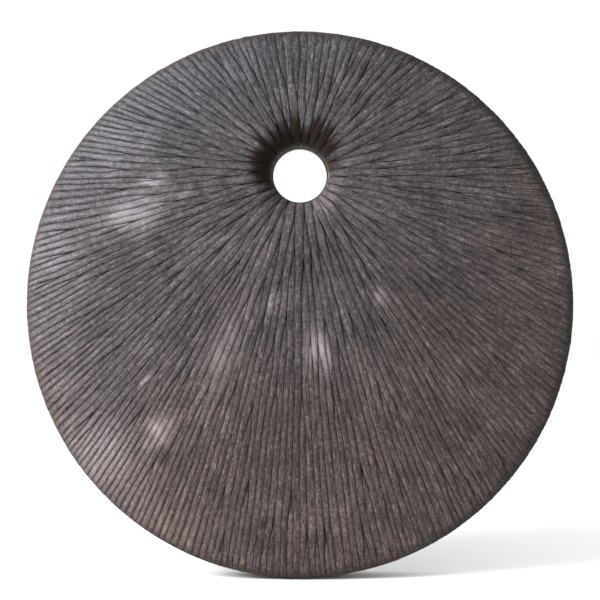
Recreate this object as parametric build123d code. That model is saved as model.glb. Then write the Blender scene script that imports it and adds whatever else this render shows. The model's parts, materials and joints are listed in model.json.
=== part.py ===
from build123d import *
import math
import os
import random

# Felt polishing wheel with an off-centre bore. Leaves of felt stand on edge on a stiff backing
# disc and run straight out from the bore to the rim, with shorter leaves let in where they spread.
# Origin: on the bore axis, at the back face. +Y points out of the back, the felt faces -Y, +Z is up.

# Wheel
wheel_radius = 100.0         # felt rim
bore_offset = 48.1           # bore axis above the disc centre
bore_radius = 10.0

# Backing disc, and the adhesive film on its front
backing_radius = 98.5
backing_thickness = 5.0
backing_edge = 0.7           # chamfer round the rim
film_radius = 98.0
film_thickness = 0.5
film_bore_radius = 10.5

# Clinched bush that lines the bore, and the washer it is clinched over
bush_wall = 1.0
bush_edge = 0.4              # chamfer round the flange
flange_radius = 16.0
flange_thickness = 1.2       # let into the back face, flush with it
clinch_radius = 12.4         # front end of the barrel, rolled over the washer
clinch_thickness = 0.5
washer_radius = 15.5
washer_thickness = 0.8

# Felt leaves
leaf_thickness = 1.25        # pressed between its neighbours
leaf_tip_width = 0.8
leaf_taper = 6.0             # length over which a leaf's inner end is skived
leaf_start = 10.6            # inner ends of the long leaves, just clear of the bore
felt_height = 16.0           # above the adhesive, at the disc centre
felt_drop = 3.0              # how much lower the crown is at the rim
lip_radius = 8.5             # rolled edge round the bore
insert_nose = 5.0            # rounded inner end of a shorter leaf
rim_radius = 5.0             # rounded outer edge
long_leaves = 27
gap_spread = 0.15            # unevenness of the gaps between long leaves
insert_spacing = 1.38        # least distance between leaf centres where another is let in
insert_spread = 0.04         # unevenness of that distance
insert_sway = 0.12           # how far off the middle of its gap a shorter leaf lies, as a share
shortest_insert = 10.5
layout_seed = 1

disc_centre = (0, -bore_offset)
bore_centre = (0, 0)
barrel_radius = bore_radius + bush_wall


def layer(depth, thickness, radius, centre):
    # Round plate that starts at a depth in front of the back face. Centres are given as X and Z.
    outline = Plane.XZ.offset(depth) * Pos(*centre) * Circle(radius)
    return extrude(outline, thickness)


def backing_disc():
    disc = layer(0, backing_thickness, backing_radius, disc_centre)
    disc = chamfer(disc.edges().filter_by(GeomType.CIRCLE), backing_edge)
    washer_pocket = washer_thickness + clinch_thickness
    disc -= layer(0, backing_thickness, barrel_radius, bore_centre)
    disc -= layer(0, flange_thickness, flange_radius, bore_centre)
    disc -= layer(backing_thickness - washer_pocket, washer_pocket, washer_radius, bore_centre)
    return disc


def bore_bush():
    # Turned section beside the bore axis: radius along X, and the wheel's own Y.
    front = -backing_thickness
    section = Polyline(
        (bore_radius, front),
        (clinch_radius, front),
        (clinch_radius, front + clinch_thickness),
        (barrel_radius, front + clinch_thickness),
        (barrel_radius, -flange_thickness),
        (flange_radius, -flange_thickness),
        (flange_radius, -bush_edge),
        (flange_radius - bush_edge, 0),
        (bore_radius, 0),
        close=True,
    )
    return revolve(make_face(section), Axis.Y)


def bush_washer():
    depth = backing_thickness - clinch_thickness - washer_thickness
    washer = layer(depth, washer_thickness, washer_radius, bore_centre)
    return washer - layer(depth, washer_thickness, barrel_radius, bore_centre)


def adhesive_film():
    film = layer(backing_thickness, film_thickness, film_radius, disc_centre)
    return film - layer(backing_thickness, film_thickness, film_bore_radius, bore_centre)


def rim_reach(angle):
    # Distance from the bore axis to the rim, in the direction of the angle.
    across = bore_offset * math.cos(angle)
    return math.sqrt(wheel_radius**2 - across**2) - bore_offset * math.sin(angle)


def crown_height(angle, reach):
    # Height of the domed felt above the adhesive, at a distance from the bore axis.
    from_centre = math.hypot(reach * math.cos(angle), reach * math.sin(angle) + bore_offset)
    return felt_height - felt_drop * (from_centre / wheel_radius) ** 2


def felt_leaf(angle, start, nose):
    # Side view, with the glued edge along X: upright inner end, rounded nose, crown, rounded rim.
    end = rim_reach(angle)
    nose_end = start + nose
    rim_start = end - rim_radius
    middle = (nose_end + rim_start) / 2
    nose_top = crown_height(angle, nose_end)
    rim_top = crown_height(angle, rim_start)
    cut = 1 - math.sqrt(0.5)
    outline = [
        Line((end, 0), (start, 0)),
        Line((start, 0), (start, nose_top - nose)),
        ThreePointArc(
            (start, nose_top - nose), (start + cut * nose, nose_top - cut * nose), (nose_end, nose_top)
        ),
        ThreePointArc((nose_end, nose_top), (middle, crown_height(angle, middle)), (rim_start, rim_top)),
        ThreePointArc(
            (rim_start, rim_top),
            (end - cut * rim_radius, rim_top - cut * rim_radius),
            (end, rim_top - rim_radius),
        ),
        Line((end, rim_top - rim_radius), (end, 0)),
    ]
    blade = extrude(make_face(outline), leaf_thickness / 2, both=True)

    # Plan view: skived from the tip width to the full thickness.
    tip = leaf_tip_width / 2
    side = leaf_thickness / 2
    plan = Plane.XZ * Polyline(
        (start, -tip),
        (start + leaf_taper, -side),
        (end, -side),
        (end, side),
        (start + leaf_taper, side),
        (start, tip),
        close=True,
    )
    blade &= extrude(make_face(plan), -felt_height)

    # Stand it on the adhesive, pointing away from the bore.
    outward = (math.cos(angle), 0, math.sin(angle))
    sideways = (math.sin(angle), 0, -math.cos(angle))
    base = (0, -backing_thickness - film_thickness, 0)
    return Plane(origin=base, x_dir=outward, z_dir=sideways).location * blade


def let_in(low, high, rng):
    # Places of the shorter leaves in a gap: one near its middle, from the distance where there is
    # room for it on both sides, then more in the two gaps that this leaves.
    gap = high - low
    share = 0.5 + rng.uniform(-insert_sway, insert_sway)
    angle = low + share * gap
    start = insert_spacing * (1 + rng.uniform(0, insert_spread)) / (gap * min(share, 1 - share))
    if start > rim_reach(angle) - shortest_insert:
        return []
    return [(angle, start)] + let_in(low, angle, rng) + let_in(angle, high, rng)


rng = random.Random(layout_seed)
gaps = [1 + rng.uniform(-gap_spread, gap_spread) for _ in range(long_leaves)]
long_angles = [2 * math.pi * sum(gaps[:count]) / sum(gaps) for count in range(long_leaves + 1)]

nodes = {
    "backing_disc": backing_disc(),
    "bore_bush": bore_bush(),
    "bush_washer": bush_washer(),
    "adhesive_film": adhesive_film(),
}
leaf_count = long_leaves
for number, (low, high) in enumerate(zip(long_angles, long_angles[1:]), start=1):
    nodes[f"long_leaf_{number:02d}"] = felt_leaf(low, leaf_start, lip_radius)
    shorter = [felt_leaf(angle, start, insert_nose) for angle, start in let_in(low, high, rng)]
    nodes[f"short_leaves_{number:02d}"] = Compound(children=shorter)
    leaf_count += len(shorter)

os.makedirs("parts", exist_ok=True)
for name, shape in nodes.items():
    export_step(shape, f"parts/{name}.step")
print(f"{len(nodes)} nodes, {leaf_count} felt leaves")
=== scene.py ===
import bpy
import bmesh
import json
import math
import random
from mathutils import Matrix, Vector, noise


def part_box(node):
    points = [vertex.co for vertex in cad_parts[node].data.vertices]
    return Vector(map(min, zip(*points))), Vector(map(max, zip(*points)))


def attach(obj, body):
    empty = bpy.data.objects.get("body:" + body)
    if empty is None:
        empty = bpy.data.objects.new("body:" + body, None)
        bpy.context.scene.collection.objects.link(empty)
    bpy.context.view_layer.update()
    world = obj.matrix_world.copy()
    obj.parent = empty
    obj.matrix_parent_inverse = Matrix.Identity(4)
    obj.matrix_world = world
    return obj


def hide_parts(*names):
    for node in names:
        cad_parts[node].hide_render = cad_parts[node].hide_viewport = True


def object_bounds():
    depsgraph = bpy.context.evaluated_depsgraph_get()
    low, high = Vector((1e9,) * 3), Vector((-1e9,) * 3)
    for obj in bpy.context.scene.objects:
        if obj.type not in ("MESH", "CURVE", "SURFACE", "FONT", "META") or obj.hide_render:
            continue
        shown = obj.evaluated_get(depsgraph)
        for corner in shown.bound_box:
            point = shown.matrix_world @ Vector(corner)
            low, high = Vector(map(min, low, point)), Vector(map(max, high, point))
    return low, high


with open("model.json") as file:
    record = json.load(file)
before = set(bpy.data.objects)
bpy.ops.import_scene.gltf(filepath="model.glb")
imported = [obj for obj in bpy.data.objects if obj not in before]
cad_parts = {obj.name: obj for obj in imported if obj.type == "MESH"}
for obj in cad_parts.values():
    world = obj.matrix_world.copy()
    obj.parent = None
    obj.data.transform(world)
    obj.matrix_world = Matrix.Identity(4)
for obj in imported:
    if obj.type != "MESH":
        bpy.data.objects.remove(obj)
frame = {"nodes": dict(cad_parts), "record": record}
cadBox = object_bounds()
mm = 0.001
weld = 1e-6          # vertices that are closer than this are one
print("felt wheel: frame loaded")

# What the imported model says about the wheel. The bore's axis is the Y axis.
boreMount = next(mount for mount in frame["record"]["mounts"] if mount["name"] == "bore")
boreRadius = boreMount["dims"]["r_mm"] * mm
backLow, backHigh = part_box("backing_disc")
filmLow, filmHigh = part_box("adhesive_film")
bushLow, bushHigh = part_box("bore_bush")
washerLow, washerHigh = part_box("bush_washer")
backRadius = (backHigh.x - backLow.x) / 2
filmRadius = (filmHigh.x - filmLow.x) / 2
bushRadius = (bushHigh.x - bushLow.x) / 2
washerRadius = (washerHigh.x - washerLow.x) / 2
discCentre = Vector(((backLow.x + backHigh.x) / 2, 0, (backLow.z + backHigh.z) / 2))
wheelRadius = (cadBox[1].z - cadBox[0].z) / 2
feltBase = filmLow.y                 # the felt stands on the front of the adhesive
feltHeight = feltBase - cadBox[0].y  # at the disc's centre


class Wire:
    # A socket that can be used in Python expressions.
    def __init__(self, desk, socket):
        self.desk = desk
        self.socket = socket

    def maths(self, operation, first, second):
        return self.desk.node("ShaderNodeMath", {"operation": operation}, {0: first, 1: second})

    def __add__(self, other):
        return self.maths("ADD", self, other)

    def __radd__(self, other):
        return self.maths("ADD", other, self)

    def __sub__(self, other):
        return self.maths("SUBTRACT", self, other)

    def __rsub__(self, other):
        return self.maths("SUBTRACT", other, self)

    def __mul__(self, other):
        return self.maths("MULTIPLY", self, other)

    def __rmul__(self, other):
        return self.maths("MULTIPLY", other, self)

    def step(self, low, high):
        # 0 below low, 1 above high, smooth between them
        settings = {"interpolation_type": "SMOOTHSTEP", "data_type": "FLOAT"}
        sockets = {"Value": self, "From Min": low, "From Max": high}
        return self.desk.node("ShaderNodeMapRange", settings, sockets)


class Desk:
    # One material's node tree. The scales of its patterns are turns in a metre.
    def __init__(self, name):
        self.material = bpy.data.materials.new(name)
        self.material.use_nodes = True
        self.tree = self.material.node_tree
        self.shader = self.tree.nodes["Principled BSDF"]

    def node(self, kind, settings=None, sockets=None, output=0):
        made = self.tree.nodes.new(kind)
        for key, value in (settings or {}).items():
            if key == "stops":
                band = made.color_ramp
                while len(band.elements) < len(value):
                    band.elements.new(1.0)
                for element, (place, color) in zip(band.elements, value):
                    element.position = place
                    element.color = (*color, 1.0)
            else:
                setattr(made, key, value)
        for key, value in (sockets or {}).items():
            self.plug(made.inputs[key], value)
        return Wire(self, made.outputs[output])

    def plug(self, socket, value):
        if isinstance(value, Wire):
            self.tree.links.new(value.socket, socket)
        elif hasattr(value, "__len__") and socket.type == "RGBA" and len(value) == 3:
            socket.default_value = (*value, 1.0)
        else:
            socket.default_value = value

    def mix(self, factor, first, second, blend="MIX"):
        settings = {"data_type": "RGBA", "blend_type": blend}
        return self.node("ShaderNodeMix", settings, {0: factor, 6: first, 7: second}, 2)

    def colorsAlong(self, factor, stops):
        return self.node("ShaderNodeValToRGB", {"stops": stops}, {"Fac": factor})

    def vectors(self, operation, first, second):
        return self.node("ShaderNodeVectorMath", {"operation": operation}, {0: first, 1: second})

    def length(self, vector):
        return self.node("ShaderNodeVectorMath", {"operation": "LENGTH"}, {0: vector}, 1)

    def cloud(self, vector, scale, detail, roughness):
        sockets = {"Vector": vector, "Scale": scale, "Detail": detail, "Roughness": roughness}
        return self.node("ShaderNodeTexNoise", {}, sockets)

    def stretched(self, vector, scales, detail, roughness):
        return self.cloud(self.vectors("MULTIPLY", vector, scales), 1.0, detail, roughness)

    def axis(self, vector, name):
        return self.node("ShaderNodeSeparateXYZ", {}, {"Vector": vector}, name)

    def pair(self, first, second):
        return self.node("ShaderNodeCombineXYZ", {}, {0: first, 1: second})

    def place(self):
        return self.node("ShaderNodeTexCoord", output="Object")

    def attribute(self, name, output="Fac"):
        return self.node("ShaderNodeAttribute", {"attribute_name": name}, output=output)

    def bump(self, height, strength, distance):
        sockets = {"Height": height, "Strength": strength, "Distance": distance}
        return self.node("ShaderNodeBump", {}, sockets)

    def finish(self, **sockets):
        for name, value in sockets.items():
            self.plug(self.shader.inputs[name.replace("_", " ")], value)
        return self.material


felt = {
    "lipRadius": 8.5 * mm,       # rolled edge at the bore
    "rimRadius": 5.0 * mm,
    "crownDrop": 3.0 * mm,       # from the disc's centre to its rim
    "noseLength": 11.0 * mm,     # over which a let-in leaf widens and comes up to the face
    "noseSink": 0.55 * mm,
    "noseRadius": 3.0 * mm,
    "noseFullness": 0.12,        # share of its thickness that a let-in leaf has at its inner end
    "fullnessSpread": 0.16,      # unevenness of the leaves' thickness
    "grooveGap": 0.02 * mm,
    "leastHalf": 0.08 * mm,      # least half width of a leaf
    "endHeight": 0.3 * mm,       # of a leaf's first and last ring above the glue
    "endInset": 0.2 * mm,        # of the glued edge's ends
    "deepest": 0.9,              # share of the way to the glue that the rounded section may take up
    "rimTrim": 0.3,              # the rim is trimmed flush, so crests are this much as round there
    "trimLength": 12.0 * mm,     # over which leaf ends follow the wheel's round outline
    "ringStep": 0.8 * mm,
    "heightSpread": 0.12 * mm,
    "boreSpread": 0.45 * mm,     # unevenness of the felt's edge round the bore
    "strandDepth": 0.09 * mm,    # relief of the matted strands along a leaf
    "strandScale": (150, 1200, 1.7),     # along and across a leaf, and from one leaf to the next
    "strandLean": 0.4,           # how far the relief leans sideways
    "toneScale": (120, 2.2, 9),  # along a leaf, from one leaf to the next, and where in the noise
    "leafTone": 0.6,             # how much whole leaves differ in tone
    "seed": 4,
}

# Slow waves in a leaf: size, how fast each changes along and up the leaf, and from one leaf to the next
waves = {
    "crown": (0.12 * mm, 90, 0, 7.3),
    "lump": (0.06 * mm, 550, 500, 3.1),
    "sway": (0.16 * mm, 160, 200, 5.7),
}

# One side of a leaf's section, from the crest down: share of the half width, depth below the crest
crestSection = [
    (0.30, 0.03 * mm),
    (0.55, 0.09 * mm),
    (0.75, 0.17 * mm),
    (0.90, 0.26 * mm),
    (0.97, 0.33 * mm),
    (1.00, 0.46 * mm),
]
footShare = 0.97
ringCount = 2 * len(crestSection) + 4    # crest, both sides, both feet and the middle of the glued edge

settling = {
    "gridStep": 1.0 * mm,        # distance from the bore between two rows
    "sweeps": 36,
    "pull": 0.35,                # share of the unevenness that a sweep takes out
    "smoothing": 3,              # passes along each leaf after a sweep
    "mostShift": 0.6 * mm,       # how far a leaf is pushed sideways by its neighbours
    "fewestInRow": 12,           # shorter rows, past the near side of the rim, don't push
    "pastRim": 6,                # rows for which a leaf still presses on its neighbours past its end
    "edgeRoom": 2.4 * mm,        # for the outermost leaf of a row, which has no neighbour
}


def ramp(value):
    value = min(max(value, 0.0), 1.0)
    return value * value * (3 - 2 * value)


def readLeaves():
    # Each loose island of a leaf node is one leaf, with a direction from the bore, a start and an end.
    leaves = []
    for name, item in sorted(frame["nodes"].items()):
        if not name.startswith(("long_leaf", "short_leaves")):
            continue
        shape = bmesh.new()
        shape.from_mesh(item.data)
        bmesh.ops.remove_doubles(shape, verts=shape.verts, dist=weld)
        seen = set()
        for vert in shape.verts:
            if vert in seen:
                continue
            island, queue = [], [vert]
            seen.add(vert)
            while queue:
                here = queue.pop()
                island.append(here.co.copy())
                for edge in here.link_edges:
                    other = edge.other_vert(here)
                    if other not in seen:
                        seen.add(other)
                        queue.append(other)
            middle = sum(island, Vector()) / len(island)
            reach = [math.hypot(co.x, co.z) for co in island]
            leaves.append({
                "node": name,
                "angle": math.atan2(middle.z, middle.x) % math.tau,
                "start": min(reach),
                "end": max(reach),
                "long": name.startswith("long"),
            })
        shape.free()
    leaves.sort(key=lambda leaf: leaf["angle"])
    return leaves


def leafWeight(leaf, k):
    # How much a leaf takes of the room between it and its neighbour.
    if leaf["long"]:
        return leaf["fullness"]
    least = felt["noseFullness"]
    widened = ramp((k * settling["gridStep"] - leaf["start"]) / felt["noseLength"])
    return leaf["fullness"] * (least + (1 - least) * widened)


def roomsInRow(row, k):
    # Distance from each leaf to the next one round.
    rooms = []
    for index, leaf in enumerate(row):
        other = row[(index + 1) % len(row)]
        turn = (other["angle"] - leaf["angle"]) % math.tau
        rooms.append(turn * k * settling["gridStep"] + other["shift"][k] - leaf["shift"][k])
    return rooms


def pushLeaves(row, k):
    # Each leaf moves towards the side where it has more room for its weight.
    rooms = roomsInRow(row, k)
    pulls = []
    for index, leaf in enumerate(row):
        before, after = row[index - 1], row[(index + 1) % len(row)]
        ahead = rooms[index] / (leafWeight(leaf, k) + leafWeight(after, k))
        behind = rooms[index - 1] / (leafWeight(leaf, k) + leafWeight(before, k))
        pulls.append((ahead - behind) * settling["pull"])
    most = settling["mostShift"]
    for leaf, pull in zip(row, pulls):
        leaf["shift"][k] = min(max(leaf["shift"][k] + pull, -most), most)


def shareRooms(row, k):
    # The room between two leaves is shared out by their weights.
    for index, room in enumerate(roomsInRow(row, k)):
        leaf, other = row[index], row[(index + 1) % len(row)]
        if room > 2 * settling["edgeRoom"]:
            room = settling["edgeRoom"]
        share = leafWeight(leaf, k) / (leafWeight(leaf, k) + leafWeight(other, k))
        leaf["high"][k] = room * share
        other["low"][k] = room * (1 - share)


def settleLeaves(leaves):
    # The leaves press on each other and even out their spacing. Afterwards each one has its sideways
    # shift and its half width on either side, at even steps of distance from the bore.
    draw = random.Random(felt["seed"])
    step, spread = settling["gridStep"], felt["fullnessSpread"]
    steps = int(max(leaf["end"] for leaf in leaves) / step) + settling["pastRim"] + 2
    for leaf in leaves:
        leaf["fullness"] = draw.uniform(1 - spread, 1 + spread)
        leaf["first"] = int(leaf["start"] / step)
        leaf["last"] = int(leaf["end"] / step) + settling["pastRim"]
        for name in ("shift", "low", "high"):
            leaf[name] = [0.0] * steps
    rows = [[leaf for leaf in leaves if leaf["first"] <= k <= leaf["last"]] for k in range(steps)]
    innermost = int(boreRadius / step)

    for _ in range(settling["sweeps"]):
        for k in range(innermost, steps):
            if len(rows[k]) >= settling["fewestInRow"]:
                pushLeaves(rows[k], k)
        for leaf in leaves:
            first, last, shift = leaf["first"], leaf["last"], leaf["shift"]
            for _ in range(settling["smoothing"]):
                for k in [*range(first + 1, last), *range(last - 1, first, -1)]:
                    shift[k] = (shift[k - 1] + shift[k] + shift[k + 1]) / 3

    for k in range(innermost, steps):
        if len(rows[k]) > 1:
            shareRooms(rows[k], k)
    for leaf in leaves:
        first, last = leaf["first"], leaf["last"]
        for values in (leaf["low"], leaf["high"]):
            values[last:] = [values[last]] * (steps - last)
            values[:first] = [values[first]] * first
            for _ in range(2):
                for k in range(first + 1, last):
                    values[k] = (values[k - 1] + 2 * values[k] + values[k + 1]) / 4
        leaf["shift"][last:] = [leaf["shift"][last]] * (steps - last)


def sampled(values, reach):
    place = reach / settling["gridStep"]
    k = min(max(int(place), 0), len(values) - 2)
    part = place - k
    return values[k] * (1 - part) + values[k + 1] * part


def crownHeight(angle, reach):
    # Height of the domed face above the adhesive.
    x = reach * math.cos(angle) - discCentre.x
    z = reach * math.sin(angle) - discCentre.z
    return feltHeight - felt["crownDrop"] * (x * x + z * z) / wheelRadius**2


def faceHeight(angle, reach, boreEdge):
    # The crown with its rolled edge round the bore.
    lip = felt["lipRadius"]
    inside = max(boreEdge + lip - reach, 0.0)
    return crownHeight(angle, reach) - lip + math.sqrt(max(lip * lip - inside * inside, 0.0))


def lipStations(angle, start):
    # Up the inner end of a long leaf and over the rolled edge.
    lip, endHeight, endInset = felt["lipRadius"], felt["endHeight"], felt["endInset"]
    wall = crownHeight(angle, start + lip) - lip
    climb = wall + lip * math.pi / 2
    count = int(climb / felt["ringStep"])
    stations = []
    for i in range(count):
        way = endHeight + (climb - endHeight) * i / count
        under = start + endInset + (lip - endInset) * way / climb
        turn = max(way - wall, 0.0) / lip
        height = min(way, wall) + lip * math.sin(turn)
        stations.append((start + lip - lip * math.cos(turn), height, under))
    return stations


def noseStations(angle, start, boreEdge):
    # Round the inner end of a let-in leaf.
    nose = felt["noseRadius"]
    count = int(nose * math.pi / 2 / felt["ringStep"])
    stations = []
    for i in range(count):
        turn = math.pi / 2 * i / count
        reach = start + nose * (1 - math.cos(turn))
        height = faceHeight(angle, reach, boreEdge) - nose * (1 - math.sin(turn)) - felt["noseSink"]
        stations.append((reach, height, reach))
    return stations


def rimStations(angle, rimStart):
    # Round the rim and down the outer end.
    rim = felt["rimRadius"]
    wall = crownHeight(angle, rimStart) - rim
    fall = rim * math.pi / 2 + wall
    count = int(fall / felt["ringStep"])
    stations = []
    for i in range(count + 1):
        way = (fall - felt["endHeight"]) * i / count
        under = rimStart + (rim - felt["endInset"]) * way / fall
        turn = min(way / rim, math.pi / 2)
        height = wall + rim * math.cos(turn) - max(way - rim * math.pi / 2, 0.0)
        stations.append((rimStart + rim * math.sin(turn), height, under))
    return stations


def leafStations(leaf, boreEdge):
    # Places along a leaf's outline, seen from its side: distance from the bore's axis, height above the
    # glue, and distance from the axis of the point of the glued edge that lies under it.
    angle, start = leaf["angle"], leaf["start"]
    rimStart = leaf["end"] - felt["rimRadius"]
    if leaf["long"]:
        stations = lipStations(angle, start)
        crownStart = start + felt["lipRadius"]
    else:
        stations = noseStations(angle, start, boreEdge)
        crownStart = start + felt["noseRadius"]
    count = max(int((rimStart - crownStart) / felt["ringStep"]), 2)
    for i in range(count):
        reach = crownStart + (rimStart - crownStart) * i / count
        height = crownHeight(angle, reach)
        if not leaf["long"]:
            risen = ramp((reach - crownStart) / felt["noseLength"])
            height = faceHeight(angle, reach, boreEdge) - felt["noseSink"] * (1 - risen)
        stations.append((reach, height, reach))
    return stations + rimStations(angle, rimStart)


def sectionPlace(spoke, depthToFoot):
    # Side, share of the half width and depth. Spoke 0 is the crest, and the rest go round by the feet.
    side = 1 if spoke <= len(crestSection) + 1 else -1
    steps = spoke if side == 1 else ringCount - spoke
    if steps == 0:
        return 0, 0.0, 0.0
    if steps <= len(crestSection):
        return side, *crestSection[steps - 1]
    if steps == len(crestSection) + 1:
        return side, footShare, depthToFoot
    return 0, 0.0, depthToFoot


# What each point of the felt has for its colour
floatNames = ["crest", "tone", "dust", "stain", "edge"]

marking = {
    "smearWander": 3.2 * mm,     # unevenness of a smear's outline
    "smearScale": 150,
    "smearFade": 0.9,
    "leftLightAndWear": 0.30,                # paler along the left of the rim: painted light from the left, with some worn, lighter fuzz
    "leftLightAndWearFrom": 0.55,            # shares of the wheel's radius
    "leftLightAndWearFade": 0.42,
    "leftLightAndWearRight": 0.02,
    "leftLightAndWearSide": 0.55,
    "stainAndShadeWidth": 10.5 * mm,     # grime and painted shade round the bore, on its narrow side
    "stainAndShadeMore": 7.0 * mm,       # and how much wider it is on its wide side
    "stainAndShadeFade": 10.0 * mm,
    "stainAndShadeSide": (-0.31, 0.95),  # its wide side lies this way, above the bore and a little to the left, where the rolled lip faces away from the light and the painted shade is deepest
    "stainAndShadeSpread": 2.6 * mm,     # how much further it reaches on some leaves, and in the grooves as painted shade
    "rimBrownAndShadeWidth": 4.5 * mm,     # brown edge of the rim, with painted shade where the face rounds over
}

# Dusted places on the felt: right of and above the disc's centre, length, width, strength.
# They are drawn out along the leaves.
# The wide, faint ones near the left of the rim are also painted light from the left.
smears = [
    (-60.0, 33.0, 22.0, 13.0, 0.50),
    (-53.0, 44.5, 11.0, 4.5, 0.60),
    (-42.0, 40.0, 8.0, 3.5, 0.35),
    (-51.0, -45.0, 13.0, 9.0, 0.62),
    (-54.5, -28.5, 8.5, 3.2, 0.50),
    (-27.0, -14.0, 36.0, 11.0, 0.34),
    (-33.0, -32.0, 30.0, 14.0, 0.20),
    (-9.5, 0.0, 6.5, 3.6, 0.50),
    (7.0, -16.5, 19.0, 7.0, 0.58),
    (29.0, 2.0, 9.0, 5.0, 0.52),
    (21.0, 36.0, 16.0, 12.0, 0.22),
    (8.5, 37.5, 13.0, 18.0, 0.34),
    (-2.0, 34.0, 10.0, 10.0, 0.12),
    (-72.0, -54.0, 27.0, 21.0, 0.27),
    (-18.0, 90.0, 18.0, 16.0, 0.13),
    (-66.0, 58.0, 26.0, 26.0, 0.10),
    (-90.0, 18.0, 18.0, 26.0, 0.18),
    (84.0, 5.0, 22.0, 110.0, 0.07),
]


def smearAt(x, z):
    # How dusted the felt is here, from the strongest smear; the wide ones on the left paint light too.
    # Their outlines wander.
    here = Vector((x, z))
    spot = Vector((x, 0, z)) * marking["smearScale"]
    apart = Vector((0, 40, 0))           # far enough for a second, unlike noise
    wander = Vector((noise.noise(spot), noise.noise(spot + apart))) * marking["smearWander"]
    best = 0.0
    for right, up, length, width, strength in smears:
        centre = Vector((discCentre.x + right * mm, discCentre.z + up * mm))
        along = centre.normalized()
        away = here + wander - centre
        onward = away.dot(along) / (length * mm / 2)
        sideways = (away.x * along.y - away.y * along.x) / (width * mm / 2)
        fade = (onward * onward + sideways * sideways) * marking["smearFade"]
        best = max(best, strength * math.exp(-fade))
    return best


# Painted light: the felt is paler towards the left of the rim, which faces the light, with some worn
# fuzz there too.
def leftLightAndWearAt(x, z):
    right = (x - discCentre.x) / wheelRadius
    up = (z - discCentre.z) / wheelRadius
    nearRim = ramp((math.hypot(right, up) - marking["leftLightAndWearFrom"]) / marking["leftLightAndWearFade"])
    return nearRim * ramp((marking["leftLightAndWearRight"] - right) / marking["leftLightAndWearSide"])


# Grime round the bore and painted shade on its rolled lip, darkest above and to the left of the bore,
# away from the light.
def stainAndShadeAt(x, z, spread):
    reach = math.hypot(x, z)
    sideX, sideZ = marking["stainAndShadeSide"]
    facing = (z * sideZ + x * sideX) / reach             # 1 on the wide side, -1 on the narrow one
    width = marking["stainAndShadeWidth"] + marking["stainAndShadeMore"] * ramp(0.5 + facing / 2) + spread
    inside = ramp((width - reach) / marking["stainAndShadeFade"] + 0.5)
    return inside * (0.1 + 0.9 * ramp(0.55 + facing * 0.6))


# Browner and darker towards the rim: brown felt there, and painted shade where the face rounds over.
def rimBrownAndShadeAt(x, z):
    inside = wheelRadius - math.hypot(x - discCentre.x, z - discCentre.z)
    return ramp(1 - inside / marking["rimBrownAndShadeWidth"])


def marksAt(co, crest, leafTone):
    # painted light on the crests along the left of the rim goes in with the dust
    leftLightAndWear = marking["leftLightAndWear"] * leftLightAndWearAt(co.x, co.z) * crest
    spread = marking["stainAndShadeSpread"] * (leafTone + 1 - crest)
    return {
        "crest": crest,
        "dust": smearAt(co.x, co.z) * (0.6 + 0.4 * crest) + leftLightAndWear,
        "stain": stainAndShadeAt(co.x, co.z, spread),
        "edge": rimBrownAndShadeAt(co.x, co.z),
    }


def wave(name, number, reach, height=0.0):
    size, lengthwise, upwards, leafwise = waves[name]
    return size * noise.noise(Vector((reach * lengthwise, number * leafwise, height * upwards)))


def skinPoint(leaf, number, station, spoke, lift):
    # Point of a leaf's section: distance from the bore's axis, offset across the leaf, height above the
    # glue, and how near the crest it is, from 1 on the crest to 0 in the groove. Feet have no crest.
    reach, height, under = station
    end, rim = leaf["end"], felt["rimRadius"]
    swell = lift + wave("crown", number, reach) + wave("lump", number, reach, height)
    top = Vector((reach, height))
    down = Vector((under, 0.0)) - top
    depthToFoot = down.length + swell
    down.normalize()
    top -= down * swell
    side, share, depth = sectionPlace(spoke, depthToFoot)
    crest = None
    if depth < depthToFoot:
        trimmed = 1 - (1 - felt["rimTrim"]) * ramp((reach - end + rim) / rim)
        depth = min(depth * trimmed, depthToFoot * felt["deepest"])
        crest = math.cos(share * math.pi / 2)
    point = top + down * depth
    half = sampled(leaf["high" if side > 0 else "low"], reach) - felt["grooveGap"] / 2
    sway = wave("sway", number, reach, height) * (1 - ramp((reach - end) / rim + 1.4))
    offset = sampled(leaf["shift"], reach) + sway + side * share * max(half, felt["leastHalf"])
    return point.x, offset, point.y, crest


def makeBar(shape, length):
    # A round bar of rings along Z, one unit apart.
    bmesh.ops.create_cone(shape, cap_ends=True, segments=ringCount, radius1=1, radius2=1, depth=length)
    longEdges = [edge for edge in shape.edges if abs(edge.verts[0].co.z - edge.verts[1].co.z) > 0.5]
    bmesh.ops.subdivide_edges(shape, edges=longEdges, cuts=length - 1, use_grid_fill=True)


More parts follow.
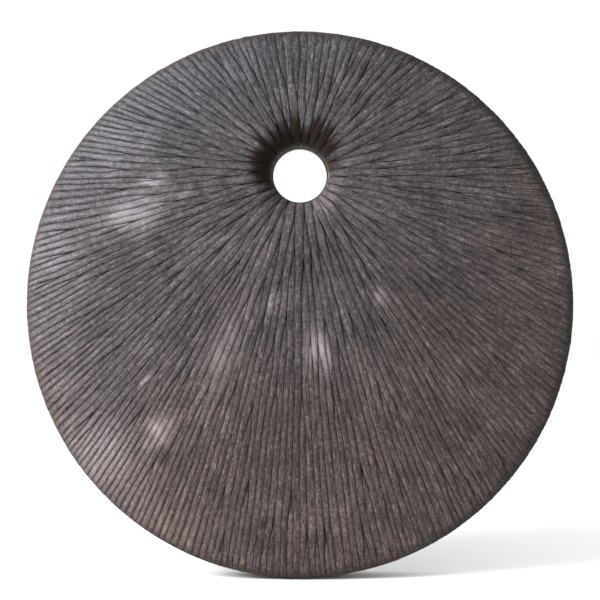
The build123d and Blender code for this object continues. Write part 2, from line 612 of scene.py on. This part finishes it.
def makeLeaf(leaf, number, draw, fibres, boreEdge):
    # A bar of rings is drawn out along the leaf, and each ring becomes the leaf's section there.
    stations = leafStations(leaf, boreEdge)
    ways = [0.0]                 # distance of each station from the first, along the leaf's outline
    for before, after in zip(stations, stations[1:]):
        ways.append(ways[-1] + math.hypot(after[0] - before[0], after[1] - before[1]))
    shape = bmesh.new()
    floats = {name: shape.verts.layers.float.new(name) for name in floatNames}
    grainLayer = shape.verts.layers.float_vector.new("grain")
    makeBar(shape, len(stations) - 1)

    angle, start, end = leaf["angle"], leaf["start"], leaf["end"]
    along = Vector((math.cos(angle), 0, math.sin(angle)))
    across = Vector((-math.sin(angle), 0, math.cos(angle)))
    outward = Vector((0, -1, 0))
    lengthwise, crosswise, leafwise = felt["strandScale"]
    toneAlong, toneApart, toneLayer = felt["toneScale"]
    centreAlong, centreAcross = discCentre.dot(along), discCentre.dot(across)
    lift = draw.uniform(-1, 1) * felt["heightSpread"]
    drawnBack = draw.uniform(-0.3, 1) * felt["boreSpread"] if leaf["long"] else 0.0
    leafTone = draw.uniform(-1, 1)
    half = (len(stations) - 1) / 2
    for vert in shape.verts:
        index = round(vert.co.z + half)
        spoke = round(math.atan2(vert.co.y, vert.co.x) / math.tau * ringCount) % ringCount
        reach = stations[index][0]
        distance, offset, height, crest = skinPoint(leaf, number, stations[index], spoke, lift)
        distance += drawnBack * ramp(1 - (reach - start) / felt["lipRadius"])
        # the leaf's end follows the wheel's outline on both sides of its middle
        outline = centreAlong + math.sqrt(wheelRadius**2 - (offset - centreAcross) ** 2)
        distance += (outline - end) * ramp((reach - end) / felt["trimLength"] + 1)
        co = along * distance + across * offset
        co.y = feltBase - height
        if crest is not None:
            strand = Vector((ways[index] * lengthwise, offset * crosswise, number * leafwise))
            co += (across * felt["strandLean"] + outward) * felt["strandDepth"] * noise.noise(strand)
        vert.co = co
        marks = marksAt(co, crest or 0.0, leafTone)
        patch = Vector((reach * toneAlong, number * toneApart, toneLayer))
        marks["tone"] = leafTone * felt["leafTone"] + noise.noise(patch)
        for name, layer in floats.items():
            vert[layer] = marks[name]
        vert[grainLayer] = (ways[index], offset, number * 0.01)
    bmesh.ops.recalc_face_normals(shape, faces=shape.faces)
    shape.normal_update()
    addLint(shape, floats, along, fibres, random.Random(lint["seed"] + number), ways[-1])
    return shape


lint = {
    "perLength": 1500,           # fibres on a metre of leaf
    "shortest": 1.0 * mm,
    "longest": 3.4 * mm,
    "thickness": 0.13 * mm,
    "bend": 0.22 * mm,
    "lift": 0.03 * mm,           # of a fibre's middle above the felt
    "kinds": 8,
    "turn": 0.28,                # how much fibres are turned out of their leaf's direction, in radians
    "palest": 4.5,
    "seed": 11,
}


def lintFibres():
    # A few kinds of bent, tapered fibre that lie about on the felt.
    draw = random.Random(lint["seed"])
    thick = lint["thickness"]
    kinds = []
    for _ in range(lint["kinds"]):
        length = draw.uniform(lint["shortest"], lint["longest"])
        shape = bmesh.new()
        bmesh.ops.create_cone(
            shape, cap_ends=True, segments=3, radius1=thick / 2, radius2=thick / 5, depth=length
        )
        sides = [edge for edge in shape.edges if edge.calc_length() > length / 2]
        bmesh.ops.subdivide_edges(shape, edges=sides, cuts=2, use_grid_fill=True)
        phase = draw.uniform(0, math.tau)
        for vert in shape.verts:
            vert.co.x += lint["bend"] * math.sin(phase + vert.co.z / lint["longest"] * 5)
        mesh = bpy.data.meshes.new("fibre")
        shape.to_mesh(mesh)
        shape.free()
        kinds.append(mesh)
    return kinds


def addLint(shape, floats, along, fibres, draw, length):
    # Fibres lie on the leaf's crest, more or less along it, and take its marks.
    spots = []
    for vert in shape.verts:
        if vert[floats["crest"]] > 0.5:
            marks = [vert[layer] for layer in floats.values()]
            spots.append((vert.co.copy(), vert.normal.copy(), marks))
    for _ in range(int(length * lint["perLength"])):
        co, normal, marks = draw.choice(spots)
        first = len(shape.verts)
        shape.from_mesh(draw.choice(fibres))
        shape.verts.ensure_lookup_table()
        flow = along - normal * along.dot(normal)
        flow.rotate(Matrix.Rotation(draw.gauss(0, lint["turn"]), 3, normal))
        turned = Matrix((flow.cross(normal), normal, flow)).transposed().to_4x4()
        turned = Matrix.Translation(co + normal * lint["lift"]) @ turned
        pale = draw.uniform(0.0, lint["palest"])
        for vert in shape.verts[first:]:
            vert.co = turned @ vert.co
            for layer, mark in zip(floats.values(), marks):
                vert[layer] = mark
            vert[floats["tone"]] = pale


def addPiece(name, shape, material, slot, *nodes):
    for face in shape.faces:
        face.smooth = True
    mesh = bpy.data.meshes.new(name)
    shape.to_mesh(mesh)
    shape.free()
    mesh.materials.append(material)
    piece = bpy.data.objects.new(name, mesh)
    bpy.context.scene.collection.objects.link(piece)
    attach(piece, "root")
    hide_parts(*nodes)
    return piece


def makeFelt():
    leaves = readLeaves()
    settleLeaves(leaves)
    print("felt wheel:", len(leaves), "leaves settled")
    boreEdge = min(leaf["start"] for leaf in leaves)
    draw = random.Random(felt["seed"] + 1)
    fibres = lintFibres()
    material = feltMaterial()
    groups = {}
    for number, leaf in enumerate(leaves):
        groups.setdefault(leaf["node"], []).append((number, leaf))
    triangles = 0
    for node, members in groups.items():
        whole = bmesh.new()
        for name in floatNames:
            whole.verts.layers.float.new(name)
        whole.verts.layers.float_vector.new("grain")
        for number, leaf in members:
            single = makeLeaf(leaf, number, draw, fibres, boreEdge)
            scratch = bpy.data.meshes.new("scratch")
            single.to_mesh(scratch)
            single.free()
            whole.from_mesh(scratch)
            bpy.data.meshes.remove(scratch)
        triangles += sum(len(face.verts) - 2 for face in whole.faces)
        piece = addPiece("felt_" + node, whole, material, "felt", node)
    for mesh in fibres:
        bpy.data.meshes.remove(mesh)
    print("felt wheel: felt has", triangles, "triangles")


feltColors = {
    "wool": [
        (0.20, (0.015, 0.013, 0.013)),
        (0.50, (0.038, 0.035, 0.035)),
        (0.75, (0.076, 0.070, 0.069)),
        (1.00, (0.16, 0.15, 0.15)),
    ],
    # painted shade down in the grooves
    "paintedGrooveShade": (0.013, 0.010, 0.009),
    # pale grey of the dust, and of the painted light along the left
    "dust": (0.21, 0.20, 0.202),
    "topTint": (0.95, 0.98, 1.09),        # the colour is uneven, bluish at the top and brown at the bottom
    "bottomTint": (1.16, 0.97, 0.90),
    # brown of the rim and its painted shade
    "rimBrownAndShade": (0.020, 0.013, 0.008),
    # brown-black of the grime and painted shade round the bore
    "grimeAndShade": (0.0075, 0.0042, 0.003),
}


def feltMaterial():
    desk = Desk("charcoalFelt")
    place = desk.place()
    crest = desk.attribute("crest")
    stainedAndShaded = desk.attribute("stain")
    grain = desk.attribute("grain", "Vector")
    strands = desk.stretched(grain, (140, 1150, 900), 2.0, 0.6)
    streaks = desk.stretched(grain, (330, 2600, 900), 4.0, 0.7)
    specks = desk.cloud(place, 1000.0, 2.0, 0.6)
    fuzz = desk.cloud(place, 3600.0, 2.0, 0.6)
    blotch = desk.cloud(place, 70.0, 3.0, 0.6)
    broad = desk.cloud(place, 16.0, 1.0, 0.5)

    mat = 0.5 + (strands - 0.5) * 0.8 + (streaks - 0.5) * 1.2 + (specks - 0.5) * 0.8
    mat = mat + (fuzz - 0.5) * 0.5 + (blotch - 0.5) * 0.4 + desk.attribute("tone") * 0.06
    wool = desk.colorsAlong(mat, feltColors["wool"])
    # painted shade: the felt is darker down in the grooves between the leaves
    paintedGrooveShade = (1 - crest.step(-0.1, 0.9)) * 0.34
    wool = desk.mix(paintedGrooveShade, wool, feltColors["paintedGrooveShade"])
    # dust, and painted light along the left of the rim
    dust = desk.attribute("dust") * (0.2 + 0.8 * specks + 0.8 * strands)
    wool = desk.mix(dust.step(0.0, 1.0), wool, feltColors["dust"])
    below = discCentre.z - desk.axis(place, "Z")
    warmth = 0.57 + below * 5.2 + desk.axis(place, "X") * 1.9 + (broad - 0.5) * 0.7
    # tinted bluish towards the top and browner towards the bottom and the right
    tint = desk.mix(warmth.step(-0.15, 1.15), feltColors["topTint"], feltColors["bottomTint"])
    wool = desk.mix(1.0, wool, tint, "MULTIPLY")
    # brown rim and painted shade where the face rounds over
    edge = desk.attribute("edge") * (0.25 + 0.8 * strands)
    wool = desk.mix(edge, wool, feltColors["rimBrownAndShade"])
    # grime and painted shade round the bore, a little more in the grooves
    stain = stainedAndShaded * (0.55 + 0.9 * strands) + (1 - crest) * 0.1 * stainedAndShaded
    wool = desk.mix(stain.step(0.0, 0.85) * 0.97, wool, feltColors["grimeAndShade"])
    relief = strands * 0.3 + streaks * 0.35 + specks * 0.2 + fuzz * 0.15
    return desk.finish(
        Base_Color=wool,
        Roughness=0.95,
        Sheen_Weight=0.03,
        Sheen_Roughness=0.5,
        Specular_IOR_Level=0.06,
        Normal=desk.bump(relief, 0.6, 0.25 * mm),
    )


def ringStack(loops, segments):
    # A closed skin round the bore. Each loop is a circle: height of its centre, radius, place along Y.
    shape = bmesh.new()
    centre, radius, depth = loops[0]
    flat = Matrix.Translation((0, depth, centre)) @ Matrix.Rotation(math.pi / 2, 4, "X")
    bmesh.ops.create_circle(shape, segments=segments, radius=radius, matrix=flat)
    ring = shape.edges[:]
    for centre, radius, depth in loops[1:] + loops[:1]:
        oldCentre = sum(edge.verts[0].co.z for edge in ring) / segments
        oldRadius = max(edge.verts[0].co.x for edge in ring)
        made = bmesh.ops.extrude_edge_only(shape, edges=ring)["geom"]
        fresh = {item for item in made if isinstance(item, bmesh.types.BMVert)}
        for vert in fresh:
            grown = (vert.co.z - oldCentre) * radius / oldRadius
            vert.co = (vert.co.x * radius / oldRadius, depth, centre + grown)
        ring = [edge for edge in shape.edges if edge.verts[0] in fresh and edge.verts[1] in fresh]
    bmesh.ops.remove_doubles(shape, verts=shape.verts, dist=weld)
    bmesh.ops.recalc_face_normals(shape, faces=shape.faces)
    return shape


def loopsBetween(inner, outer, count):
    # Divides the flat face between two loops, so that it can be uneven.
    return [tuple(a + (b - a) * i / count for a, b in zip(inner, outer)) for i in range(1, count)]


def softenEdges(shape, offset, segments):
    sharp = [edge for edge in shape.edges if edge.calc_face_angle(0) > 0.5]
    bmesh.ops.bevel(
        shape, geom=sharp, offset=offset, offset_type="OFFSET", affect="EDGES",
        segments=segments, profile=0.5, material=-1, clamp_overlap=True,
    )


bush = {
    "wall": 1.0 * mm,
    "flange": 1.2 * mm,
    "flangeEdge": 0.4 * mm,
    "mouthEdge": 0.35 * mm,      # the mouth is broken with a file
    "clinchRadius": 12.4 * mm,
    "clinchDrop": 0.1 * mm,      # rounding of the clinched lip's outer corner, along the bore
    "clinchEdge": 0.3 * mm,      # and across it
    "rollRadius": 0.6 * mm,      # the lip is rolled over, so its inner corner is round
    "rollMiddle": 0.15 * mm,
    "softEdge": 0.08 * mm,
    "washerEdge": 0.12 * mm,
    "segments": 128,
}
barrelRadius = boreRadius + bush["wall"]
flangeFront = bushHigh.y - bush["flange"]


def makeBush():
    front, back = bushLow.y, bushHigh.y
    mouth, corner, roll = bush["mouthEdge"], bush["flangeEdge"], bush["rollMiddle"]
    loops = [
        (0, boreRadius, back - mouth),
        (0, boreRadius + mouth, back),
        (0, bushRadius - corner, back),
        (0, bushRadius, back - corner),
        (0, bushRadius, flangeFront),
        (0, barrelRadius, flangeFront),
        (0, barrelRadius, washerLow.y),
        (0, bush["clinchRadius"], washerLow.y),
        (0, bush["clinchRadius"], front + bush["clinchDrop"]),
        (0, bush["clinchRadius"] - bush["clinchEdge"], front),
        (0, boreRadius + bush["rollRadius"], front),
        (0, boreRadius + roll, front + roll),
        (0, boreRadius, front + bush["rollRadius"]),
    ]
    shape = ringStack(loops, bush["segments"])
    softenEdges(shape, bush["softEdge"], 2)
    addPiece("turned_bush", shape, steelMaterial("agedSteel"), "bush_steel", "bore_bush")

    loops = [
        (0, barrelRadius, washerLow.y),
        (0, washerRadius, washerLow.y),
        (0, washerRadius, washerHigh.y),
        (0, barrelRadius, washerHigh.y),
    ]
    shape = ringStack(loops, bush["segments"])
    softenEdges(shape, bush["washerEdge"], 3)
    addPiece("pressed_washer", shape, steelMaterial("agedSteelWasher"), "bush_steel", "bush_washer")


steelColors = {
    "bright": (0.16, 0.145, 0.13),
    "smudged": (0.07, 0.055, 0.045),
    "turned": (0.30, 0.29, 0.27),
    "pits": (0.06, 0.035, 0.02),
    # dark of the grime and painted shade at the bush's front end
    "grimeAndShade": (0.010, 0.007, 0.005),
}


def steelMaterial(name):
    desk = Desk(name)
    place = desk.place()
    depth = desk.axis(place, "Y")
    fromBore = desk.length(desk.vectors("MULTIPLY", place, (1, 0, 1)))
    turned = desk.cloud(desk.pair(fromBore * 5200, depth * 5200), 1.0, 3.0, 0.7)
    smudge = desk.cloud(place, 160.0, 3.0, 0.6)
    pits = desk.cloud(place, 1400.0, 2.0, 0.5).step(0.62, 0.72)
    steel = desk.mix(smudge.step(0.35, 0.7), steelColors["bright"], steelColors["smudged"])
    steel = desk.mix(turned.step(0.4, 0.75) * 0.35, steel, steelColors["turned"])
    steel = desk.mix(pits * 0.6, steel, steelColors["pits"])
    # polishing grime and painted shade at the front end, down inside the felt's bore
    grimeAndShade = 1 - depth.step(bushLow.y, bushLow.y + 1.8 * mm)
    steel = desk.mix(grimeAndShade * (0.75 + 0.25 * smudge), steel, steelColors["grimeAndShade"])
    return desk.finish(
        Base_Color=steel,
        Metallic=1 - pits * 0.7 - grimeAndShade * 0.3,
        Roughness=0.3 + smudge * 0.25 + pits * 0.2 + grimeAndShade * 0.35,
        Normal=desk.bump(turned - pits * 0.6, 0.25, 0.04 * mm),
    )


backing = {
    "chamfer": 0.7 * mm,
    "plies": 5,
    "plyGroove": 0.07 * mm,      # the plies show as fine lines round the edge
    "plyLine": 0.12,             # share of a ply that its groove takes on either side
    "faceRings": 30,
    "frontRings": 8,
    "unevenness": 0.05 * mm,     # of the back face
    "faceScale": 45,
    "nick": 0.5 * mm,            # dents in the edge
    "nickScale": (34, 90),       # round the wheel and across its edge
    "nickLimit": 0.42,           # higher makes fewer dents
    "edgeWear": 0.05 * mm,
    "edgeScale": 300,
    "edgeWidth": 2.0 * mm,       # of the worn edge
    "seatRadius": 24.0 * mm,     # ring rubbed by the machine's flange
    "seatFade": 8.0 * mm,
    "segments": 256,
}


def edgePlies(middle, start, stop):
    # Loops across the disc's edge, drawn in where two plies meet.
    plies, line = backing["plies"], backing["plyLine"]
    wall = []
    for ply in range(plies):
        low = start + (stop - start) * ply / plies
        high = start + (stop - start) * (ply + 1) / plies
        wall.append((middle, backRadius, low + (high - low) * line))
        wall.append((middle, backRadius, low + (high - low) * (1 - line)))
        if ply < plies - 1:
            wall.append((middle, backRadius - backing["plyGroove"], high))
    return wall


def wearDisc(shape):
    # The back face is uneven, and the edge is worn and dented.
    roundwise, crosswise = backing["nickScale"]
    for vert in shape.verts:
        out = vert.co - discCentre
        out.y = 0
        inward = -out.normalized()
        fromRim = backRadius - out.length
        if vert.co.y > backHigh.y - 0.01 * mm and vert.co.length > bushRadius + 1 * mm:
            sunk = 0.5 + 0.5 * noise.noise(vert.co * backing["faceScale"])
            vert.co.y -= backing["unevenness"] * sunk
        if fromRim < backing["edgeWidth"]:
            across = Vector((0, vert.co.y * crosswise, 0))
            dent = max(noise.noise(across - inward * roundwise) - backing["nickLimit"], 0.0)
            vert.co += inward * dent * backing["nick"]
            wear = 0.5 + 0.5 * noise.noise(vert.co * backing["edgeScale"])
            vert.co += inward * backing["edgeWear"] * wear


def makeBacking():
    back, front, middle = backHigh.y, backLow.y, discCentre.z
    chamfer = backing["chamfer"]
    backInner, backOuter = (0, bushRadius, back), (middle, backRadius - chamfer, back)
    frontInner, frontOuter = (0, washerRadius, front), (middle, backRadius - chamfer, front)
    loops = [backInner, *loopsBetween(backInner, backOuter, backing["faceRings"]), backOuter]
    loops.append((middle, backRadius, back - chamfer))
    loops += edgePlies(middle, back - chamfer, front + chamfer)
    loops.append((middle, backRadius, front + chamfer))
    loops += [frontOuter, *loopsBetween(frontOuter, frontInner, backing["frontRings"]), frontInner]
    loops += [
        (0, washerRadius, washerHigh.y),
        (0, barrelRadius, washerHigh.y),
        (0, barrelRadius, flangeFront),
        (0, bushRadius, flangeFront),
    ]
    shape = ringStack(loops, backing["segments"])
    wearDisc(shape)
    addPiece("laminate_disc", shape, laminateMaterial(), "fibre_laminate", "backing_disc")


boardColors = {
    "board": [
        (0.25, (0.012, 0.008, 0.005)),
        (0.50, (0.034, 0.021, 0.013)),
        (0.75, (0.095, 0.060, 0.037)),
    ],
    "rubbed": (0.11, 0.085, 0.065),
    "worn": (0.13, 0.095, 0.065),
    "scratches": (0.14, 0.11, 0.09),
}


def laminateMaterial():
    desk = Desk("pressedLaminate")
    place = desk.place()
    crossways = desk.stretched(place, (1500, 900, 260), 3.0, 0.6)
    upright = desk.stretched(place, (240, 900, 1400), 3.0, 0.6)
    mottle = desk.cloud(place, 40.0, 4.0, 0.6)
    flat = desk.vectors("MULTIPLY", place, (1, 0, 1))
    fromBore = desk.length(flat)
    fromCentre = desk.length(desk.vectors("SUBTRACT", flat, discCentre))
    turned = desk.cloud(desk.pair(fromBore * 2600, mottle * 2), 1.0, 2.0, 0.7)
    fibres = crossways * 0.5 + upright * 0.5
    board = desk.colorsAlong(0.5 + (fibres - 0.5) * 1.8 + (mottle - 0.5) * 0.45, boardColors["board"])
    # rubbed where the machine's flange seats, and along the edge
    seatEdge = fromBore + (mottle - 0.5) * 6 * mm
    outsideSeat = seatEdge.step(backing["seatRadius"], backing["seatRadius"] + backing["seatFade"])
    rubbed = ((1 - outsideSeat) * (turned * 1.6 + mottle - 0.7)).step(0.1, 1.0)
    board = desk.mix(rubbed * 0.7, board, boardColors["rubbed"])
    worn = fromCentre.step(backRadius - 1.6 * mm, backRadius - 0.3 * mm) * mottle.step(0.35, 0.6)
    board = desk.mix(worn * 0.5, board, boardColors["worn"])
    scratches = desk.stretched(place, (60, 60, 1900), 4.0, 0.75).step(0.66, 0.74)
    board = desk.mix(scratches * 0.4, board, boardColors["scratches"])
    return desk.finish(
        Base_Color=board,
        Roughness=0.42 + (fibres - 0.5) * 0.3 + mottle * 0.22 - rubbed * 0.12,
        Specular_IOR_Level=0.4,
        Normal=desk.bump(fibres + turned * 0.1, 0.35, 0.08 * mm),
    )


glue = {
    "boreGap": 0.5 * mm,         # between the bore and the film
    "boreBead": 0.15 * mm,
    "bead": 0.45 * mm,           # squeezed out past the film's rim
    "beadPlaces": (0.2, 0.5, 0.8),
    "beadSpread": 0.3 * mm,
    "beadScale": 140,
    "faceRings": 6,
    "segments": 256,
}


def makeGlue():
    back, front, middle = filmHigh.y, filmLow.y, discCentre.z
    boreEdge = boreRadius + glue["boreGap"]
    frontInner, frontOuter = (0, boreEdge, front), (middle, filmRadius, front)
    backInner, backOuter = (0, boreEdge, back), (middle, filmRadius, back)
    loops = [frontInner, *loopsBetween(frontInner, frontOuter, glue["faceRings"]), frontOuter]
    for share in glue["beadPlaces"]:
        bulge = glue["bead"] * math.sin(math.pi * share)
        loops.append((middle, filmRadius + bulge, front + (back - front) * share))
    loops += [backOuter, *loopsBetween(backOuter, backInner, glue["faceRings"]), backInner]
    loops.append((0, boreEdge - glue["boreBead"], (back + front) / 2))
    shape = ringStack(loops, glue["segments"])
    for vert in shape.verts:
        out = vert.co - discCentre
        out.y = 0
        if out.length > filmRadius + 0.05 * mm:
            vert.co += out.normalized() * glue["beadSpread"] * noise.noise(vert.co * glue["beadScale"])
    addPiece("glue_line", shape, glueMaterial(), "adhesive", "adhesive_film")


glueColors = {
    "deep": (0.030, 0.014, 0.005),
    "thin": (0.085, 0.045, 0.016),
    "lint": (0.04, 0.036, 0.034),
}


def glueMaterial():
    desk = Desk("curedGlue")
    place = desk.place()
    flow = desk.cloud(place, 260.0, 3.0, 0.6)
    lintInGlue = desk.cloud(place, 1500.0, 2.0, 0.6).step(0.55, 0.7)
    glueColor = desk.mix(flow.step(0.3, 0.7), glueColors["deep"], glueColors["thin"])
    glueColor = desk.mix(lintInGlue * 0.5, glueColor, glueColors["lint"])
    return desk.finish(
        Base_Color=glueColor,
        Roughness=0.22 + flow * 0.3 + lintInGlue * 0.3,
        Normal=desk.bump(flow, 0.4, 0.2 * mm),
    )


studio = {
    "cameraDistance": 500 * mm,      # from the rim's plane
    "frameWidth": 220.1 * mm,        # what the camera takes in at that plane
    "rimDepth": -13 * mm,
    "aimAbove": 1.7 * mm,            # of the disc's centre
    "sensor": 36,                    # in millimetres, as cameras count it
    "worldStrength": 1.05,
    "keyPower": 6.2,
    "keySize": 0.25,
    "keyPlace": (-0.36, -0.24, 0.20),    # from the disc's centre
    "floorRadius": 4.0,
    "floorGap": 0.3 * mm,            # the felt's fuzz reaches a little below the model's box
    "floorColor": (0.96, 0.96, 0.96),
}


def addFloor():
    shape = bmesh.new()
    bmesh.ops.create_circle(shape, cap_ends=True, segments=96, radius=studio["floorRadius"])
    mesh = bpy.data.meshes.new("floor")
    shape.to_mesh(mesh)
    shape.free()
    floor = bpy.data.objects.new("floor", mesh)
    floor.location.z = cadBox[0].z - studio["floorGap"]
    bpy.context.scene.collection.objects.link(floor)
    mesh.materials.append(Desk("paleFloor").finish(Base_Color=studio["floorColor"], Roughness=0.9))


def addLight():
    world = bpy.data.worlds.new("studio")
    world.use_nodes = True
    background = world.node_tree.nodes["Background"]
    background.inputs["Color"].default_value = (1, 1, 1, 1)
    background.inputs["Strength"].default_value = studio["worldStrength"]
    bpy.context.scene.world = world

    keyData = bpy.data.lights.new("key", "AREA")
    keyData.energy = studio["keyPower"]
    keyData.size = studio["keySize"]
    key = bpy.data.objects.new("key", keyData)
    key.location = Vector(studio["keyPlace"]) + discCentre
    key.rotation_mode = "QUATERNION"
    key.rotation_quaternion = (discCentre - key.location).to_track_quat("-Z", "Y")
    bpy.context.scene.collection.objects.link(key)


def addCamera():
    cameraData = bpy.data.cameras.new("camera")
    cameraData.sensor_width = studio["sensor"]
    cameraData.lens = studio["sensor"] * studio["cameraDistance"] / studio["frameWidth"]
    camera = bpy.data.objects.new("camera", cameraData)
    camera.location = (
        discCentre.x,
        studio["rimDepth"] - studio["cameraDistance"],
        discCentre.z + studio["aimAbove"],
    )
    camera.rotation_mode = "QUATERNION"
    camera.rotation_quaternion = Vector((0, 1, 0)).to_track_quat("-Z", "Y")
    bpy.context.scene.collection.objects.link(camera)
    bpy.context.scene.camera = camera
    bpy.context.scene.view_settings.view_transform = "Standard"


makeFelt()
makeBush()
makeBacking()
makeGlue()
print("felt wheel: bush, backing and glue made")
addFloor()
addLight()
addCamera()
print("felt wheel: stage set")
